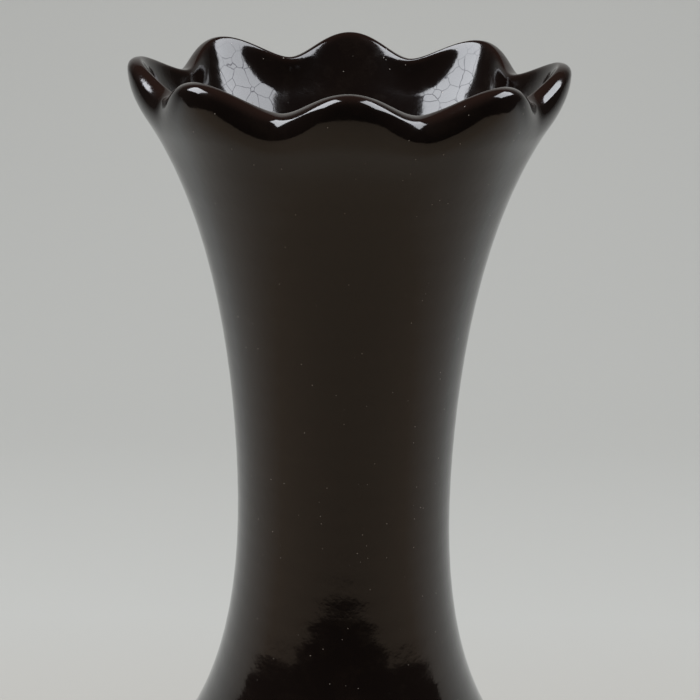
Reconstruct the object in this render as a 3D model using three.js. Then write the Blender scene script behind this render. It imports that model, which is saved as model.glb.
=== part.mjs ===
// Tall bottle-shaped vase: a round belly, a long waisted neck and a trumpet mouth with a petalled lip.
// It is built as a potter builds it, from thrown sections luted one on top of the other.
// Millimetres, +Z up, the foot stands on z = 0 and the axis of the pot is the Z axis.
import * as THREE from 'three';

// The pot's height is stacked from rises: table to foot, foot to belly, and so on up to the petals' crests.
const footHeight = 12;
const bellyRise = 116;
const shoulderRise = 177;
const neckRise = 123;
const lipRise = 16;

// Seams that lie below the waist and below the top of the neck's flare.
const neckSeamDrop = 55;
const lipSeamDrop = 23;

// Outside radii.
const footRadius = 56;
const footTopRadius = 53;
const bellyRadius = 94;
const waistRadius = 34.6;
const flareRadius = 60.4;
const mouthRadius = 65;

// How full the outline is: the lengths of the curve handles.
const footFullness = 44;
const bellyFullness = 62;
const bellyTopFullness = 67;
const shoulderFullness = 115;
const neckFullness = 30;
const flareFullness = 40;
const bodyRiseAngle = 52;
const flareAngle = 34;

// Walls.
const bodyWall = 7.5;
const neckWall = 6;
const floorThickness = 9;
const floorFillet = 20;
const footWidth = 11;
const footBevel = 1.5;

// Petalled lip.
const petals = 8;
const petalDrop = 7;
const petalDepth = 7;
const rollDrop = 3;
const rollWidth = 3.4;
const rollFullness = 2;
const petalSharpness = 0.9;
const petalCrowding = 0.06;
const petalLean = 0.03;

// Every seam is a bead on the lower piece that keys into a groove under the upper one, with slip between.
const slip = 0.3;
const beadWidth = 2.4;
const beadHeight = 1.5;

// Facets.
const facetsRound = 48;
const facetsPerPetal = 12;
const outlineSteps = 9;
const lipSteps = 3;
const rollSteps = 4;

const glaze = new THREE.MeshStandardMaterial({ color: 0x1c1410, roughness: 0.1, metalness: 0 });
const clay = new THREE.MeshStandardMaterial({ color: 0x7a5a40, roughness: 0.85, metalness: 0 });

const degrees = THREE.MathUtils.degToRad;

// A handle of the given length, leaning outward from the vertical by an angle.
function handle(length, angle) {
  return new THREE.Vector2(Math.sin(degrees(angle)), Math.cos(degrees(angle))).multiplyScalar(length);
}

// One curve of the outline, from a lower point to an upper one.
function outline(lower, lowerHandle, upper, upperHandle) {
  return new THREE.CubicBezierCurve(
    lower,
    lower.clone().add(lowerHandle),
    upper.clone().sub(upperHandle),
    upper,
  );
}

const bellyHeight = footHeight + bellyRise;
const waistHeight = bellyHeight + shoulderRise;
const flareHeight = waistHeight + neckRise;
const mouthHeight = flareHeight + lipRise;
const neckSeam = waistHeight - neckSeamDrop;
const lipSeam = flareHeight - lipSeamDrop;

const footTop = new THREE.Vector2(footTopRadius, footHeight);
const widest = new THREE.Vector2(bellyRadius, bellyHeight);
const waist = new THREE.Vector2(waistRadius, waistHeight);
const flare = new THREE.Vector2(flareRadius, flareHeight);

const curves = [
  outline(footTop, handle(footFullness, bodyRiseAngle), widest, handle(bellyFullness, 0)),
  outline(widest, handle(bellyTopFullness, 0), waist, handle(shoulderFullness, 0)),
  outline(waist, handle(neckFullness, 0), flare, handle(flareFullness, flareAngle)),
];

// Outside radius and its slope at a height, found by halving the curve's parameter.
function outside(height) {
  const curve = curves.find((piece) => height <= piece.v3.y) ?? curves.at(-1);
  let low = 0;
  let high = 1;
  for (let halving = 0; halving < 40; halving += 1) {
    const middle = (low + high) / 2;
    if (curve.getPoint(middle).y < height) low = middle;
    else high = middle;
  }
  const tangent = curve.getTangent(low);
  return { radius: curve.getPoint(low).x, slope: tangent.x / tangent.y };
}

// The wall is as thick square to its face as the named size says, thinning from body to neck.
function inside(height) {
  const { radius, slope } = outside(height);
  const share = THREE.MathUtils.smoothstep(height, bellyHeight, waistHeight);
  const wall = THREE.MathUtils.lerp(bodyWall, neckWall, share);
  return radius - wall * Math.hypot(1, slope);
}

function outer(height) {
  return outside(height).radius;
}

function middle(height) {
  return (outer(height) + inside(height)) / 2;
}

// Points of a face from one height to another.
function face(radiusAt, from, to, steps = outlineSteps) {
  const points = [];
  for (let step = 0; step <= steps; step += 1) {
    const height = THREE.MathUtils.lerp(from, to, step / steps);
    points.push(new THREE.Vector2(radiusAt(height), height));
  }
  return points;
}

// Top of a lower piece, walked inward, with its bead.
function bead(radius, height) {
  const half = beadWidth / 2;
  return [
    new THREE.Vector2(radius + half, height),
    new THREE.Vector2(radius + half * 0.6, height + beadHeight),
    new THREE.Vector2(radius - half * 0.6, height + beadHeight),
    new THREE.Vector2(radius - half, height),
  ];
}

// Underside of the upper piece, walked outward, with the groove that clears the bead by the slip.
function groove(radius, height) {
  const half = beadWidth / 2 + slip;
  const bottom = height + slip;
  return [
    new THREE.Vector2(radius - half, bottom),
    new THREE.Vector2(radius - half * 0.7, bottom + beadHeight),
    new THREE.Vector2(radius + half * 0.7, bottom + beadHeight),
    new THREE.Vector2(radius + half, bottom),
  ];
}

function turned(points) {
  const geometry = new THREE.LatheGeometry(points, facetsRound);
  geometry.rotateX(Math.PI / 2);
  return geometry;
}

// Ring of wall between two seams.
function section(from, to) {
  const bottom = from + slip;
  const points = [
    ...groove(middle(from), from),
    ...face(outer, bottom, to),
    ...bead(middle(to), to),
    ...face(inside, to, bottom),
  ];
  return turned([...points, points[0].clone()]);
}

const footMiddle = footTopRadius - footWidth / 2;

// Splayed ring that the pot stands on, with its flat underside left free of glaze.
function footRing() {
  const inner = footTopRadius - footWidth;
  const points = [
    new THREE.Vector2(inner + footBevel, 0),
    new THREE.Vector2(footRadius - footBevel, 0),
    new THREE.Vector2(footRadius, footBevel),
    new THREE.Vector2(footTopRadius, footHeight),
    ...bead(footMiddle, footHeight),
    new THREE.Vector2(inner, footHeight),
    new THREE.Vector2(inner, footBevel),
  ];
  return turned([...points, points[0].clone()]);
}

// Lower half of the body, closed by the floor.
function lowerBody() {
  const bottom = footHeight + slip;
  const floorTop = footHeight + floorThickness;
  const filletTop = floorTop + floorFillet;
  const filletRadius = inside(filletTop);
  const fillet = new THREE.QuadraticBezierCurve(
    new THREE.Vector2(filletRadius, filletTop),
    new THREE.Vector2(inside(floorTop + floorFillet / 2), floorTop),
    new THREE.Vector2(filletRadius - 2 * floorFillet, floorTop),
  );
  const points = [
    new THREE.Vector2(0, bottom),
    ...groove(footMiddle, footHeight),
    ...face(outer, bottom, bellyHeight),
    ...bead(middle(bellyHeight), bellyHeight),
    ...face(inside, bellyHeight, filletTop),
    ...fillet.getPoints(rollSteps).slice(1),
    new THREE.Vector2(0, floorTop),
  ];
  return turned(points);
}

// How far the lip reaches at an angle: 1 on a petal's crest and 0 in the valley beside it.
// The petals are cut by hand, so they crowd together in places.
function petal(angle) {
  const uneven = angle + petalLean * Math.cos(angle) - petalCrowding * Math.sin(2 * angle);
  return (0.5 + 0.5 * Math.cos(petals * (uneven - degrees(-90)))) ** petalSharpness;
}

// Closed outline of the lip on a crest. It climbs the flare, leans back upright at its widest, turns over
// a blunt ridge and falls along the inner face to the groove in its underside.
function lipOutline() {
  const bottom = lipSeam + slip;
  const widestLip = new THREE.Vector2(mouthRadius, mouthHeight - rollDrop);
  const ridge = new THREE.Vector2(mouthRadius - rollWidth, mouthHeight);
  const inward = new THREE.Vector2(rollFullness, 0);
  const inner = new THREE.Vector2(inside(flareHeight), flareHeight);
  const rise = outline(flare, handle(lipRise / 3, flareAngle), widestLip, handle(lipRise / 4, 0));
  const over = new THREE.CubicBezierCurve(
    widestLip,
    widestLip.clone().add(handle(rollFullness, 0)),
    ridge.clone().add(inward),
    ridge,
  );
  const fall = new THREE.CubicBezierCurve(
    ridge,
    ridge.clone().sub(inward),
    inner.clone().add(handle(lipRise / 2, flareAngle)),
    inner,
  );
  return [
    ...face(outer, bottom, flareHeight, lipSteps),
    ...rise.getPoints(lipSteps).slice(1),
    ...over.getPoints(rollSteps).slice(1),
    ...fall.getPoints(rollSteps).slice(1),
    ...face(inside, flareHeight, bottom, lipSteps).slice(1),
    ...groove(middle(lipSeam), lipSeam),
  ];
}

// The lip's outline swept round the mouth while it sinks and draws in at every valley. The petals start
// from nothing at the seam, where the lip is still round, and are fully shaped at the ridge.
function petalledLip() {
  const points = lipOutline();
  const count = points.length;
  const seat = lipSeam + slip + beadHeight;
  const stations = petals * facetsPerPetal;
  const positions = [];
  const triangles = [];
  for (let station = 0; station < stations; station += 1) {
    const angle = (station / stations) * 2 * Math.PI;
    const valley = 1 - petal(angle);
    for (const point of points) {
      const share = Math.max(0, (point.y - seat) / (mouthHeight - seat)) ** 2;
      const radius = point.x - petalDepth * valley * share;
      const height = point.y - petalDrop * valley * share;
      positions.push(radius * Math.cos(angle), radius * Math.sin(angle), height);
    }
    const next = (station + 1) % stations;
    for (let index = 0; index < count; index += 1) {
      const a = station * count + index;
      const b = station * count + ((index + 1) % count);
      const c = next * count + index;
      const d = next * count + ((index + 1) % count);
      triangles.push(a, c, b, b, c, d);
    }
  }
  const geometry = new THREE.BufferGeometry();
  geometry.setAttribute('position', new THREE.Float32BufferAttribute(positions, 3));
  geometry.setIndex(triangles);
  geometry.computeVertexNormals();
  return geometry;
}

function piece(name, geometry, material) {
  const mesh = new THREE.Mesh(geometry, material);
  mesh.name = name;
  return mesh;
}

const vase = new THREE.Group();
vase.name = 'vase';
vase.add(
  piece('foot_ring', footRing(), clay),
  piece('lower_body', lowerBody(), glaze),
  piece('shoulder', section(bellyHeight, neckSeam), glaze),
  piece('neck', section(neckSeam, lipSeam), glaze),
  piece('petalled_lip', petalledLip(), glaze),
);

export default vase;
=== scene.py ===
import math

import bpy
import numpy as np
from mathutils import Matrix, Vector


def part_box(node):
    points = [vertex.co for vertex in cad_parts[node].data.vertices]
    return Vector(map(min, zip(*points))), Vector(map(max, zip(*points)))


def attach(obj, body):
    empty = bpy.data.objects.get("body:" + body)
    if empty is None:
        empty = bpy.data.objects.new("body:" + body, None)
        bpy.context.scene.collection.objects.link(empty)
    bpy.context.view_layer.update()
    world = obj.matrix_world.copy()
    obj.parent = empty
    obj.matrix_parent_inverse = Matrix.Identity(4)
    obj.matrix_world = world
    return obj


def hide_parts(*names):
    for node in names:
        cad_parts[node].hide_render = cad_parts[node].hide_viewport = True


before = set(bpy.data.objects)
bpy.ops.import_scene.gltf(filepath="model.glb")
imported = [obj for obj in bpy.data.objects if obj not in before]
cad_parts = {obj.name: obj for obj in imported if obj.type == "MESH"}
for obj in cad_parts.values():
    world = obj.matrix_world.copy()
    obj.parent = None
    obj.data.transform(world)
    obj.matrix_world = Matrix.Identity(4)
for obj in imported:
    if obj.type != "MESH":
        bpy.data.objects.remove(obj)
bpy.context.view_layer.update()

MM = 0.001


# Foot ring.
# A ring of the pot's own clay, luted under the floor and turned to a slight splay.
# It is wiped clean before firing, so the iron-rich body shows, dry and sandy.

STATIONS = 384
foot_low, foot_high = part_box("foot_ring")
foot_wall = 11 * MM
foot_bevel = 1.5 * MM
foot_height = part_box("lower_body")[0].z
foot_top_radius = foot_high.x - 3 * MM


def rounded(corner, before, after, size):
    """Five points of a soft corner between two straight edges."""
    start = corner + (before - corner).normalized() * size
    end = corner + (after - corner).normalized() * size
    points = []
    for step in range(5):
        t = step / 4
        points.append(start * (1 - t) ** 2 + corner * 2 * t * (1 - t) + end * t * t)
    return points


def sweep(name, rows, pole_ends=False):
    """A closed mesh from rows of points round the axis. The rows close on themselves or end in poles."""
    count, stations = rows.shape[:2]
    points = rows.reshape(-1, 3).tolist()
    faces = []
    last = count - 1 if pole_ends else count
    for row in range(last):
        here = row * stations
        there = ((row + 1) % count) * stations
        for station in range(stations):
            after = (station + 1) % stations
            faces.append((here + station, here + after, there + after, there + station))
    if pole_ends:
        for row, turn in ((0, 1), (count - 1, -1)):
            pole = len(points)
            points.append((0.0, 0.0, float(rows[row, 0, 2])))
            for station in range(stations):
                after = (station + 1) % stations
                pair = (row * stations + after, row * stations + station)
                faces.append((pole, *pair[::turn]))
    mesh = bpy.data.meshes.new(name)
    mesh.from_pydata(points, [], faces)
    mesh.validate()
    mesh.shade_smooth()
    mesh.set_sharp_from_angle(angle=math.radians(42))
    piece = bpy.data.objects.new(name, mesh)
    bpy.context.scene.collection.objects.link(piece)
    return piece


def turned(points, uneven=None):
    """Rows of a turned shape, from points as radius and height. uneven moves the wall in or out."""
    angles = np.linspace(0, 2 * math.pi, STATIONS, endpoint=False)
    rows = np.zeros((len(points), STATIONS, 3))
    for row, point in enumerate(points):
        radius = point[0] + (uneven(angles, point[1]) if uneven else 0)
        rows[row, :, 0] = radius * np.cos(angles)
        rows[row, :, 1] = radius * np.sin(angles)
        rows[row, :, 2] = point[1]
    return rows


def linear(hex_colour):
    """An sRGB hex colour as linear red, green, blue and alpha."""
    values = [int(hex_colour[start:start + 2], 16) / 255 for start in (1, 3, 5)]
    return tuple(v / 12.92 if v <= 0.04045 else ((v + 0.055) / 1.055) ** 2.4 for v in values) + (1.0,)


def add(tree, kind, settings=None, **links):
    """Adds a node, sets its properties and inputs, and links the inputs that name an output."""
    node = tree.nodes.new(kind)
    for key, value in (settings or {}).items():
        setattr(node, key, value)
    for key, value in links.items():
        socket = node.inputs[int(key[1:])] if key[1:].isdigit() else node.inputs[key.replace("_", " ")]
        if isinstance(value, bpy.types.NodeSocket):
            tree.links.new(value, socket)
        else:
            socket.default_value = value
    return node


def new_material(name):
    material = bpy.data.materials.new(name)
    material.use_nodes = True
    material.node_tree.nodes.clear()
    return material, material.node_tree


# Fired iron-rich stoneware, turned and left bare: a dry brown with sand grains and scorched patches.
clay, tree = new_material("bare_stoneware")
GRAIN = 0.5 * MM
SCORCH = 14 * MM
place = add(tree, "ShaderNodeTexCoord")
grain = add(tree, "ShaderNodeTexNoise", Vector=place.outputs["Object"], Scale=1 / GRAIN, Detail=3.0)
scorch = add(tree, "ShaderNodeTexNoise", Vector=place.outputs["Object"], Scale=1 / SCORCH, Detail=4.0)
tone = add(tree, "ShaderNodeMix", {"data_type": "RGBA"}, _0=scorch.outputs["Fac"],
           _6=linear("#6b452c"), _7=linear("#a3764f"))
speck = add(tree, "ShaderNodeMapRange", Value=grain.outputs["Fac"], From_Min=0.58, From_Max=0.7)
colour = add(tree, "ShaderNodeMix", {"data_type": "RGBA"}, _0=speck.outputs["Result"],
             _6=tone.outputs[2], _7=linear("#4a2f20"))
relief = add(tree, "ShaderNodeBump", Height=grain.outputs["Fac"], Strength=0.5, Distance=0.15 * MM)
surface = add(tree, "ShaderNodeBsdfPrincipled", Base_Color=colour.outputs[2], Roughness=0.85, IOR=1.5,
              Normal=relief.outputs["Normal"])
add(tree, "ShaderNodeOutputMaterial", Surface=surface.outputs["BSDF"])

inner_radius = foot_top_radius - foot_wall
corners = [Vector((inner_radius, 0)), Vector((foot_high.x, 0)),
           Vector((foot_top_radius, foot_height)), Vector((inner_radius, foot_height))]
foot_outline = rounded(corners[0], corners[3], corners[1], foot_bevel)
foot_outline += rounded(corners[1], corners[0], corners[2], foot_bevel)
foot_outline += [corners[2], corners[3]]
foot_ring = sweep("foot_ring_turned", turned(foot_outline))
foot_ring.data.materials.append(clay)
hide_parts("foot_ring")
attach(foot_ring, "root")


# Lower body.
# The lower half of the belly, thrown with the floor and glazed over its whole outside.
# The glaze stops in a slightly thicker, wavering roll just above the foot.

belly_low, belly_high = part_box("lower_body")
shoulder_low, shoulder_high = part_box("shoulder")
neck_low, neck_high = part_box("neck")
lip_low, lip_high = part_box("petalled_lip")
slip = 0.3 * MM
bead = 1.5 * MM
belly_height = shoulder_low.z - slip
seam_height = neck_low.z - slip
lip_seam = lip_low.z - slip
waist = Vector((34.6 * MM, 305 * MM))
flare = Vector((60.4 * MM, 428 * MM))
flare_lean = math.radians(34)
body_lean = math.radians(52)
body_wall = 7.5 * MM
neck_wall = 6 * MM
floor_top = 21 * MM
floor_fillet = 20 * MM


def curve(lower, lower_handle, upper, upper_handle, steps=400):
    """Radius against height along one Bezier curve of the pot's outline."""
    t = np.linspace(0, 1, steps)[:, None]
    a, d = np.array(lower), np.array(upper)
    b, c = a + np.array(lower_handle), d - np.array(upper_handle)
    return a * (1 - t) ** 3 + 3 * b * t * (1 - t) ** 2 + 3 * c * t * t * (1 - t) + d * t ** 3


def leaning(length, lean):
    return (length * math.sin(lean), length * math.cos(lean))


widest = Vector((belly_high.x, belly_height))
outline = np.vstack([
    curve((foot_top_radius, foot_height - slip), leaning(44 * MM, body_lean), widest, (0, 62 * MM)),
    curve(widest, (0, 67 * MM), waist, (0, 115 * MM))[1:],
    curve(waist, (0, 30 * MM), flare, leaning(40 * MM, flare_lean))[1:],
])
slope = np.gradient(outline[:, 0]) / np.gradient(outline[:, 1])


def outside(height):
    return float(np.interp(height, outline[:, 1], outline[:, 0]))


def inside(height):
    share = min(max((height - belly_height) / (waist.y - belly_height), 0), 1)
    wall = body_wall + (neck_wall - body_wall) * share * share * (3 - 2 * share)
    return outside(height) - wall * math.hypot(1, float(np.interp(height, outline[:, 1], slope)))


ring_spacing = 8.5 * MM
ring_depth = 0.012 * MM
wobble_depth = 0.06 * MM
thrown_depth = 0.16 * MM


def thrown(angles, height):
    """The potter's fingers leave faint rings and a slow wobble, which stay within the outline."""
    rings = np.sin(2 * math.pi * height / ring_spacing + 1.4 * np.sin(angles + height * 9))
    wobble = np.sin(3 * angles + height * 25) + np.sin(2 * angles - height * 14 + 1.7)
    return ring_depth * rings + wobble_depth * wobble - thrown_depth


def face(radius_at, start, end, step=1.5 * MM):
    count = max(2, round(abs(end - start) / step))
    return [(radius_at(h), h) for h in np.linspace(start, end, count + 1)]


# Thick iron-brown glaze, dipped and fired to a mirror. It looks black where it pools, and breaks to
# brown where it thins over an edge. Cooling left it crazed, with pinholes, pocks and a few grey scuffs.
CRAZE = 5 * MM
PEEL = 2.6 * MM
PINHOLE = 2.4 * MM
SCUFF = 9 * MM


def glaze_material(name):
    """Attribute thin is 1 where the glaze runs thin over an edge, and crazed is 1 where it is crazed."""
    material, tree = new_material(name)
    place = add(tree, "ShaderNodeTexCoord").outputs["Object"]
    warp = add(tree, "ShaderNodeTexNoise", Vector=place, Scale=1 / (4 * MM), Detail=2.0)
    bent = add(tree, "ShaderNodeVectorMath", {"operation": "MULTIPLY_ADD"}, _0=warp.outputs["Color"],
               _1=(1.6 * MM,) * 3, _2=place).outputs["Vector"]
    craze = add(tree, "ShaderNodeTexVoronoi", {"feature": "DISTANCE_TO_EDGE"}, Vector=bent,
                Scale=1 / CRAZE)
    crack = add(tree, "ShaderNodeMapRange", Value=craze.outputs["Distance"], From_Min=0.0,
                From_Max=0.026, To_Min=1.0, To_Max=0.0)
    crazed = add(tree, "ShaderNodeAttribute", {"attribute_name": "crazed"})
    crack = add(tree, "ShaderNodeMath", {"operation": "MULTIPLY"}, _0=crack.outputs["Result"],
                _1=crazed.outputs["Fac"])
    cells = add(tree, "ShaderNodeTexVoronoi", {"feature": "F1"}, Vector=bent, Scale=1 / CRAZE)
    pin = add(tree, "ShaderNodeTexVoronoi", {"feature": "F1"}, Vector=place, Scale=1 / PINHOLE)
    hole = add(tree, "ShaderNodeMapRange", Value=pin.outputs["Distance"], From_Min=0.04, From_Max=0.08,
               To_Min=1.0, To_Max=0.0)
    chosen = add(tree, "ShaderNodeMath", {"operation": "GREATER_THAN"}, _0=pin.outputs["Color"], _1=0.62)
    pinhole = add(tree, "ShaderNodeMath", {"operation": "MULTIPLY"}, _0=hole.outputs["Result"],
                  _1=chosen.outputs["Value"])
    scuffed = add(tree, "ShaderNodeTexNoise", Vector=place, Scale=1 / SCUFF, Detail=8.0, Roughness=0.75)
    scuff = add(tree, "ShaderNodeMapRange", Value=scuffed.outputs["Fac"], From_Min=0.5, From_Max=0.75)
    thin = add(tree, "ShaderNodeAttribute", {"attribute_name": "thin"})
    pooled = add(tree, "ShaderNodeMix", {"data_type": "RGBA"}, _0=scuff.outputs["Result"],
                 _6=linear("#100a08"), _7=linear("#17100c"))
    broken = add(tree, "ShaderNodeMix", {"data_type": "RGBA"}, _0=thin.outputs["Fac"],
                 _6=pooled.outputs[2], _7=linear("#1c110d"))
    dusty = add(tree, "ShaderNodeMix", {"data_type": "RGBA"}, _0=pinhole.outputs["Value"],
                _6=broken.outputs[2], _7=linear("#8f877c"))
    rough = add(tree, "ShaderNodeMapRange", Value=scuff.outputs["Result"], To_Min=0.09, To_Max=0.17)
    rough_crack = add(tree, "ShaderNodeMath", {"operation": "MULTIPLY_ADD"}, _0=crack.outputs["Value"],
                      _1=0.02, _2=rough.outputs["Result"])
    # A crack mirrors less than the glaze beside it, and shows as a dark line in a bright reflection.
    dulled = add(tree, "ShaderNodeMix", {"data_type": "RGBA"}, _0=crack.outputs["Value"],
                 _6=linear("#ffffff"), _7=linear("#6f6f78"))
    peel = add(tree, "ShaderNodeTexNoise", Vector=place, Scale=1 / PEEL, Detail=2.0)
    height = add(tree, "ShaderNodeMath", {"operation": "MULTIPLY_ADD"}, _0=crack.outputs["Value"],
                 _1=-0.1, _2=peel.outputs["Fac"])
    dome = add(tree, "ShaderNodeMath", {"operation": "MULTIPLY"}, _0=cells.outputs["Distance"],
               _1=crazed.outputs["Fac"])
    domed = add(tree, "ShaderNodeMath", {"operation": "MULTIPLY_ADD"}, _0=dome.outputs["Value"],
                _1=-0.5, _2=height.outputs["Value"])
    pitted = add(tree, "ShaderNodeMath", {"operation": "MULTIPLY_ADD"}, _0=pinhole.outputs["Value"],
                 _1=-1.0, _2=domed.outputs["Value"])
    relief = add(tree, "ShaderNodeBump", Height=pitted.outputs["Value"], Strength=0.35,
                 Distance=0.08 * MM)
    surface = add(tree, "ShaderNodeBsdfPrincipled", Base_Color=dusty.outputs[2],
                  Roughness=rough_crack.outputs["Value"], IOR=1.55, Normal=relief.outputs["Normal"],
                  Specular_Tint=dulled.outputs[2])
    add(tree, "ShaderNodeOutputMaterial", Surface=surface.outputs["BSDF"])
    return material


glaze = glaze_material("iron_brown_glaze")


def paint(piece, name, amount):
    """Stores an amount for the glaze at each point of a piece."""
    values = np.array([amount(vertex.co) for vertex in piece.data.vertices], np.float32)
    attribute = piece.data.attributes.new(name, "FLOAT", "POINT")
    attribute.data.foreach_set("value", values)


def crazed_inside(co):
    """The crazing is open inside the mouth, and stops short of the outside, where the glaze pulls less."""
    depth = outside(min(co.z, flare.y)) - math.hypot(co.x, co.y)
    return min(max(depth / (4 * MM), 0.06), 1)


def glaze_line(angle):
    """Height of the wavering line where the glaze stops."""
    waver = 1.1 * math.sin(2 * angle + 0.6) + 0.6 * math.sin(5 * angle) + 0.3 * math.sin(11 * angle)
    return (15.5 + waver) * MM


def glaze_roll(angles, height):
    line = np.array([glaze_line(a) for a in angles])
    rise = np.clip((height - line) / (0.9 * MM), 0, 1)
    return thrown(angles, height) + 0.5 * MM * rise * np.exp(-np.maximum(height - line, 0) / (6 * MM))


fillet_top = floor_top + floor_fillet
fillet = curve((inside(fillet_top) - 2 * floor_fillet, floor_top), (13 * MM, 0),
               (inside(fillet_top), fillet_top), (0, 13 * MM), steps=14)[::-1]
low_outline = [(2 * MM, foot_height), (20 * MM, foot_height), (foot_top_radius - 0.2 * MM, foot_height)]
low_outline += face(outside, foot_height, 24 * MM, 0.4 * MM)
low_outline += face(outside, 24 * MM, belly_height)[1:]
low_outline += face(inside, belly_height, fillet_top, 3 * MM)
low_outline += [tuple(point) for point in fillet[1:]] + [(2 * MM, floor_top)]
lower_body = sweep("lower_body_thrown", turned(low_outline, glaze_roll), pole_ends=True)


def bare_below_line(co):
    return 1.0 if co.z < glaze_line(math.atan2(co.y, co.x)) and co.z < floor_top else 0.0


paint(lower_body, "thin", bare_below_line)
paint(lower_body, "crazed", crazed_inside)
lower_body.data.materials.append(glaze)
lower_body.data.materials.append(clay)
for polygon in lower_body.data.polygons:
    if bare_below_line(polygon.center):
        polygon.material_index = 1
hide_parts("lower_body")
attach(lower_body, "root")


# Shoulder.
# The upper half of the body, thrown upside down and luted rim to rim on the lower one.
# Its glaze is thick and unbroken, so the seam leaves no mark.

def wall_section(name, bottom, top):
    """Ring of wall between two seams."""
    points = face(outside, bottom, top) + face(inside, top, bottom, 3 * MM)
    piece = sweep(name, turned(points, thrown))
    paint(piece, "thin", lambda co: 0.0)
    paint(piece, "crazed", crazed_inside)
    piece.data.materials.append(glaze)
    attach(piece, "root")
    return piece


shoulder = wall_section("shoulder_thrown", belly_height, seam_height)
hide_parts("shoulder")


# Neck.
# A tall thrown cylinder, collared in to a waist and opened at the top like a trumpet.
# It carries the lip, and the glaze runs on over both.

neck = wall_section("neck_thrown", seam_height, lip_seam)
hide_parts("neck")


# Petalled lip.
# A thick rolled rim, cut and pressed by hand into eight petals that are not quite alike.
# The glaze thins along its crest and breaks to brown there.

PETALS = 8
petal_drop = 7 * MM
petal_depth = 7 * MM
roll_drop = 3 * MM
roll_width = 3.4 * MM
roll_fullness = 2 * MM
mouth_radius = lip_high.y


def petal(angles):
    """1 on a petal's crest, 0 in a valley. The petals crowd together in places."""
    uneven = angles + 0.03 * np.cos(angles) - 0.06 * np.sin(2 * angles)
    return (0.5 + 0.5 * np.cos(PETALS * (uneven + math.pi / 2))) ** 0.9


lip_rise = lip_high.z - flare.y
widest_lip = (mouth_radius, lip_high.z - roll_drop)
ridge = (mouth_radius - roll_width, lip_high.z)
inner_flare = (inside(flare.y), flare.y)
inner_handle = leaning(lip_rise / 2, flare_lean)
lip_outline = np.vstack([
    face(outside, lip_seam, flare.y),
    curve(flare, leaning(lip_rise / 3, flare_lean), widest_lip, (0, lip_rise / 4), steps=14)[1:],
    curve(widest_lip, (0, roll_fullness), ridge, (-roll_fullness, 0), steps=14)[1:],
    curve(ridge, (-roll_fullness, 0), inner_flare, (-inner_handle[0], -inner_handle[1]), steps=18)[1:],
    face(inside, flare.y, lip_seam)[1:],
])
angles = np.linspace(0, 2 * math.pi, STATIONS, endpoint=False)
valley = 1 - petal(angles)
lip_rows = np.zeros((len(lip_outline), STATIONS, 3))
for row, (radius, height) in enumerate(lip_outline):
    share = max(0, (height - lip_seam - bead) / (lip_high.z - lip_seam - bead)) ** 2
    reach = radius - petal_depth * valley * share + thrown(angles, height)
    lip_rows[row, :, 0] = reach * np.cos(angles)
    lip_rows[row, :, 1] = reach * np.sin(angles)
    lip_rows[row, :, 2] = height - petal_drop * valley * share
petalled_lip = sweep("petalled_lip_cut", lip_rows)


def lip_crazed(co):
    """Open crazing on the inner face, fading over the ridge."""
    valley_here = 1 - float(petal(np.array(math.atan2(co.y, co.x))))
    share = max(0, (co.z + petal_drop * valley_here - lip_seam) / (lip_high.z - lip_seam)) ** 2
    ridge_line = outside(min(co.z, flare.y)) - petal_depth * valley_here * share
    depth = ridge_line - math.hypot(co.x, co.y)
    return min(max(depth / (4 * MM), 0.06), 1)


def crest_thin(co):
    top = lip_high.z - petal_drop * (1 - float(petal(np.array(math.atan2(co.y, co.x)))))
    return min(max((co.z - top + 2.2 * MM) / (2 * MM), 0), 1)


paint(petalled_lip, "thin", crest_thin)
paint(petalled_lip, "crazed", lip_crazed)
petalled_lip.data.materials.append(glaze)
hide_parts("petalled_lip")
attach(petalled_lip, "root")


# Table and backdrop.
# A sweep of pale grey paper: level under the pot, and curved up behind it.
# It ends in front of the pot, where it is narrower, so the shoulder mirrors the dark room beyond it.

table_front = -0.78
paper_half_width = 2.2
bend_start = 0.75
bend_radius = 0.6
wall_top = 1.9
profile = [(table_front, 0.0), (0.0, 0.0), (0.3, 0.0)]
half_widths = [0.85, 1.0, 1.5]
for step in range(17):
    turn = step / 16 * math.pi / 2
    profile.append((bend_start + bend_radius * math.sin(turn), bend_radius * (1 - math.cos(turn))))
profile.append((bend_start + bend_radius, wall_top))
half_widths += [paper_half_width] * (len(profile) - len(half_widths))
paper_points = [(side * half_width, y, z) for half_width, (y, z) in zip(half_widths, profile)
                for side in (-1, 1)]
paper_faces = [(2 * i, 2 * i + 1, 2 * i + 3, 2 * i + 2) for i in range(len(profile) - 1)]
paper_mesh = bpy.data.meshes.new("paper_sweep")
paper_mesh.from_pydata(paper_points, [], paper_faces)
paper_mesh.shade_smooth()
paper = bpy.data.objects.new("paper_sweep", paper_mesh)
bpy.context.scene.collection.objects.link(paper)
paper_material, tree = new_material("pale_paper")
place = add(tree, "ShaderNodeTexCoord")
across = add(tree, "ShaderNodeSeparateXYZ", Vector=place.outputs["Object"])
# The paper turns darker and browner from behind the pot towards its front edge.
warm = add(tree, "ShaderNodeMapRange", Value=across.outputs["Y"], From_Min=0.45, From_Max=-0.25)
colour = add(tree, "ShaderNodeMix", {"data_type": "RGBA"}, _0=warm.outputs["Result"],
             _6=linear("#b2b1ab"), _7=linear("#8c7b67"))
surface = add(tree, "ShaderNodeBsdfPrincipled", Base_Color=colour.outputs[2], Roughness=0.9)
add(tree, "ShaderNodeOutputMaterial", Surface=surface.outputs["BSDF"])
paper_mesh.materials.append(paper_material)


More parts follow.
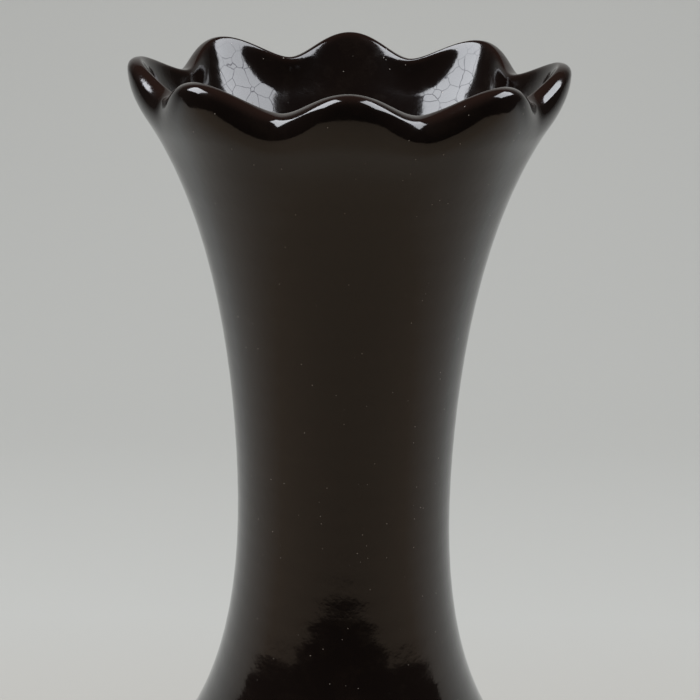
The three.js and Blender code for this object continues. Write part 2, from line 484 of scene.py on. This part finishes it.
# Lights.
# Two large softboxes stand high on either side in a dim room. The left one is brighter.
# Both are mirrored in the mouth, where the crazing shows.

def softbox(name, place, width, height, radiance, colour):
    """A lamp aimed at the mouth of the pot. Its radiance is what a mirror would show."""
    lamp = bpy.data.lights.new(name, "AREA")
    lamp.shape = "RECTANGLE"
    lamp.size = width
    lamp.size_y = height
    lamp.energy = radiance * math.pi * width * height
    lamp.color = linear(colour)[:3]
    box = bpy.data.objects.new(name, lamp)
    box.location = place
    aim = Vector((0, 0, lip_high.z)) - Vector(place)
    box.rotation_euler = aim.to_track_quat("-Z", "Y").to_euler()
    bpy.context.scene.collection.objects.link(box)


softbox("softbox_right", (1.09, -0.12, 1.38), 1.15, 1.0, 8, "#f6f9ff")
softbox("softbox_left", (-1.0, -0.20, 1.40), 0.95, 1.1, 10, "#f6f9ff")

world = bpy.data.worlds.new("dim_room")
world.use_nodes = True
bpy.context.scene.world = world
room = world.node_tree.nodes["Background"]
room.inputs["Color"].default_value = linear("#2a2927")
room.inputs["Strength"].default_value = 1.0


# Camera.
# It stands level with the mouth, close in front, and looks down the neck.

FOCAL_PIXELS = 1470
IMAGE_PIXELS = 700
mouth_distance = 0.440
mouth_elevation = math.radians(8.76)
tilt_down = math.radians(19.44)
turn_right = math.radians(0.175)
camera_roll = math.radians(0.88)
lens = bpy.data.cameras.new("camera")
lens.sensor_width = 36
lens.lens = FOCAL_PIXELS / IMAGE_PIXELS * lens.sensor_width
lens.clip_start = 0.01
camera = bpy.data.objects.new("camera", lens)
rim_drop = 4 * MM
rim_height = lip_high.z - rim_drop
eye = Vector((0, -mouth_distance * math.cos(mouth_elevation),
              rim_height + mouth_distance * math.sin(mouth_elevation)))
facing = Matrix.Rotation(-turn_right, 4, "Z") @ Matrix.Rotation(math.pi / 2 - tilt_down, 4, "X")
camera.matrix_world = Matrix.Translation(eye) @ facing @ Matrix.Rotation(camera_roll, 4, "Z")
bpy.context.scene.collection.objects.link(camera)
bpy.context.scene.camera = camera
bpy.context.scene.view_settings.view_transform = "Standard"

bpy.context.view_layer.update()
